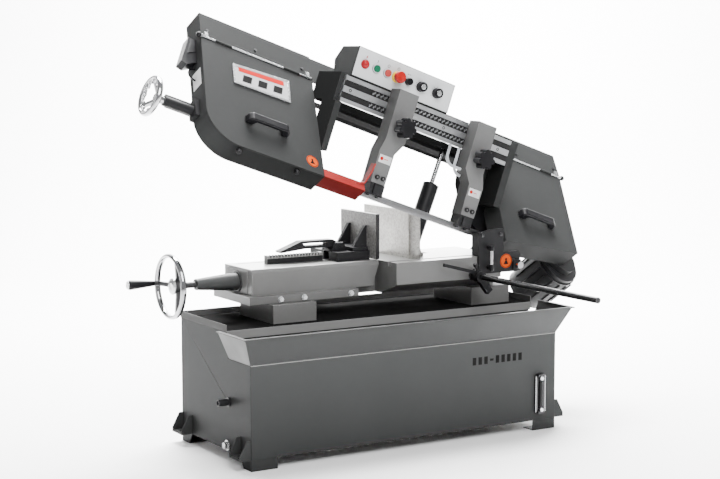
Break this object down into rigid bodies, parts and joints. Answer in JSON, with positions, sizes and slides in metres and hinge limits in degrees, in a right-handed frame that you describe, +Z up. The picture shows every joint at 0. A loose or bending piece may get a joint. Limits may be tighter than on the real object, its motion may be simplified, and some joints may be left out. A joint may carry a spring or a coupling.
{
  "type": "horizontal metal-cutting band saw",
  "caption": "Horizontal metal-cutting band saw: a tilting bow with two leaning wheel boxes over a vise bed, on a coolant cabinet with a chip gutter.",
  "frame": {"origin": "Centre of the cabinet footprint, on the floor under the feet.", "axes": "+X runs along the bow from the idler wheel to the drive wheel, +Y points to the back of the machine (the operator stands on the -Y side), +Z is up."},
  "size_m": [1.938, 1.1739, 1.5651],
  "materials": {
    "grey_paint": "smooth mid-grey machine enamel",
    "light_grey_paint": "light-grey enamel",
    "cast_grey": "mid-grey painted casting with machined top",
    "machined": "ground and lightly mottled face",
    "black_iron": "black painted casting",
    "black_paint": "black enamel",
    "bright_steel": "turned bright steel",
    "chrome": "polished",
    "black_plastic": "fine satin",
    "white_panel": "white printed sheet with blank symbols",
    "badge": "white enamel with a plain red bar",
    "red_paint": "gloss red enamel",
    "red_plastic": "gloss",
    "green_plastic": "gloss",
    "grey_hose": "smooth grey hose",
    "blade_steel": "toothed spring-steel band",
    "motor_alloy": "black ribbed alloy"
  },
  "bodies": {
    "base": {"cabinet": "grey_paint", "feet_and_lugs": "grey_paint", "gutter": "grey_paint", "chip_tray": "grey_paint", "riser_blocks": "grey_paint", "vise_bed": "cast_grey", "bed_bolts": "bright_steel", "fixed_jaw": "machined", "vise_rack": "black_iron", "screw_housing": "black_paint", "sight_gauge": "bright_steel", "drain_fittings": "black_plastic", "pivot_bracket": "cast_grey", "stop_rod": "bright_steel", "feed_cover": "black_plastic"},
    "head": {"beam": "grey_paint", "rail": "bright_steel", "idler_housing": "grey_paint", "drive_housing": "grey_paint", "hinge_rods": "bright_steel", "latch_screws": "bright_steel", "control_box": "grey_paint", "control_panel": "white_panel", "pilot_lamp": "red_plastic", "gearbox": "black_iron", "motor": "motor_alloy", "blade": "blade_steel", "tension_housing": "black_iron", "limit_switch": "black_plastic"},
    "idler_door": {"idler_door": "grey_paint", "idler_handle": "black_plastic", "badge_plate": "badge"},
    "drive_door": {"drive_door": "grey_paint", "drive_handle": "black_plastic"},
    "idler_wheel": {"idler_wheel": "machined"},
    "drive_wheel": {"drive_wheel": "machined"},
    "tension_wheel": {"tension_wheel": "chrome"},
    "left_arm": {"left_arm": "light_grey_paint", "left_guide": "black_paint", "blade_guard": "red_paint"},
    "right_arm": {"right_arm": "light_grey_paint", "right_guide": "black_paint", "arm_hoses": "grey_hose"},
    "left_knob": {"left_knob": "black_plastic"},
    "right_knob": {"right_knob": "black_plastic"},
    "start_button": {"start_button": "green_plastic"},
    "stop_button": {"stop_button": "red_plastic"},
    "estop_button": {"estop_button": "red_plastic"},
    "selector": {"selector": "black_plastic"},
    "speed_knob": {"speed_knob": "black_plastic"},
    "coolant_knob": {"coolant_knob": "black_plastic"},
    "jaw": {"movable_jaw": "machined", "jaw_carriage": "black_iron"},
    "quick_lever": {"quick_lever": "black_iron"},
    "vise_handwheel": {"vise_handwheel": "chrome"},
    "crank_grip": {"crank_grip": "black_plastic"},
    "stop_arm": {"stop_arm": "black_iron"},
    "feed_knob": {"feed_knob": "chrome"},
    "lift_cylinder": {"lift_cylinder": "black_paint"},
    "lift_rod": {"lift_rod": "chrome"}
  },
  "joints": [
    {"name": "head_hinge", "type": "hinge", "parent": "base", "child": "head", "pos_m": [0.635, 0.107, 0.68], "axis": [0, 1, 0], "range_deg": [-19.5, 16]},
    {"name": "lift_cylinder_hinge", "type": "hinge", "parent": "base", "child": "lift_cylinder", "pos_m": [0.2, 0.12, 0.56], "axis": [0, 1, 0], "range_deg": [-10.4, 8.6]},
    {"name": "lift_rod_slide", "type": "slide", "parent": "lift_cylinder", "child": "lift_rod", "axis": [0.3741, 0, 0.9274], "range_m": [-0.126, 0.104]},
    {"name": "idler_door_hinge", "type": "hinge", "parent": "head", "child": "idler_door", "pos_m": [-0.37352, 0.18206, 1.40294], "axis": [-0.9426, 0, 0.3338], "range_deg": [0, 100]},
    {"name": "drive_door_hinge", "type": "hinge", "parent": "head", "child": "drive_door", "pos_m": [0.83494, 0.18206, 0.975], "axis": [-0.9426, 0, 0.3338], "range_deg": [0, 100]},
    {"name": "drive_wheel_turn", "type": "hinge", "parent": "head", "child": "drive_wheel", "pos_m": [0.76053, 0.0557, 0.76485], "axis": [-0.2146, 0.766, -0.6059], "continuous": true},
    {"name": "idler_wheel_turn", "type": "hinge", "parent": "head", "child": "idler_wheel", "pos_m": [-0.44794, 0.0557, 1.19279], "axis": [-0.2146, 0.766, -0.6059], "continuous": true},
    {"name": "tension_wheel_turn", "type": "hinge", "parent": "head", "child": "tension_wheel", "pos_m": [-0.86529, 0.03552, 1.27546], "axis": [0.9426, 0, -0.3338], "continuous": true},
    {"name": "left_arm_slide", "type": "slide", "parent": "head", "child": "left_arm", "axis": [0.9426, 0, -0.3338], "range_m": [-0.13, 0.14]},
    {"name": "right_arm_slide", "type": "slide", "parent": "head", "child": "right_arm", "axis": [0.9426, 0, -0.3338], "range_m": [-0.1, 0]},
    {"name": "left_knob_turn", "type": "hinge", "parent": "left_arm", "child": "left_knob", "pos_m": [0.06332, -0.13, 1.14766], "axis": [0, 1, 0], "range_deg": [-180, 180]},
    {"name": "right_knob_turn", "type": "hinge", "parent": "right_arm", "child": "right_knob", "pos_m": [0.41492, -0.13, 1.02315], "axis": [0, 1, 0], "range_deg": [-180, 180]},
    {"name": "start_press", "type": "slide", "parent": "head", "child": "start_button", "axis": [0, 1, 0], "range_m": [0, 0.005], "stiffness_N_per_m": 600},
    {"name": "stop_press", "type": "slide", "parent": "head", "child": "stop_button", "axis": [0, 1, 0], "range_m": [0, 0.005], "stiffness_N_per_m": 600},
    {"name": "estop_press", "type": "slide", "parent": "head", "child": "estop_button", "axis": [0, 1, 0], "range_m": [0, 0.006], "stiffness_N_per_m": 900},
    {"name": "selector_turn", "type": "hinge", "parent": "head", "child": "selector", "pos_m": [0.14675, -0.02, 1.31437], "axis": [0, 1, 0], "range_deg": [-45, 45]},
    {"name": "speed_turn", "type": "hinge", "parent": "head", "child": "speed_knob", "pos_m": [0.20331, -0.02, 1.29434], "axis": [0, 1, 0], "range_deg": [-140, 140]},
    {"name": "coolant_turn", "type": "hinge", "parent": "head", "child": "coolant_knob", "pos_m": [0.27307, -0.02, 1.26964], "axis": [0, 1, 0], "range_deg": [-140, 140]},
    {"name": "jaw_slide", "type": "slide", "parent": "base", "child": "jaw", "axis": [1, 0, 0], "range_m": [-0.24, 0.11]},
    {"name": "quick_lever_hinge", "type": "hinge", "parent": "jaw", "child": "quick_lever", "pos_m": [-0.092, 0.111, 0.707], "axis": [0, 1, 0], "range_deg": [0, 45]},
    {"name": "vise_wheel_turn", "type": "hinge", "parent": "base", "child": "vise_handwheel", "pos_m": [-0.772, 0.098, 0.603], "axis": [1, 0, 0], "continuous": true},
    {"name": "crank_grip_turn", "type": "hinge", "parent": "vise_handwheel", "child": "crank_grip", "pos_m": [-0.83, 0.203, 0.603], "axis": [1, 0, 0], "continuous": true},
    {"name": "stop_arm_slide", "type": "slide", "parent": "base", "child": "stop_arm", "axis": [0, -1, 0], "range_m": [0, 0.65]},
    {"name": "feed_knob_turn", "type": "hinge", "parent": "base", "child": "feed_knob", "pos_m": [0.574, -0.13, 0.616], "axis": [0, 1, 0], "range_deg": [-150, 150]}
  ],
  "couplings": [
    {"joint": "lift_cylinder_hinge", "follows": "head_hinge", "ratio": 0.5112},
    {"joint": "lift_rod_slide", "follows": "head_hinge", "m_per_rad": 0.3611},
    {"joint": "idler_wheel_turn", "follows": "drive_wheel_turn", "ratio": 0.8889}
  ]
}
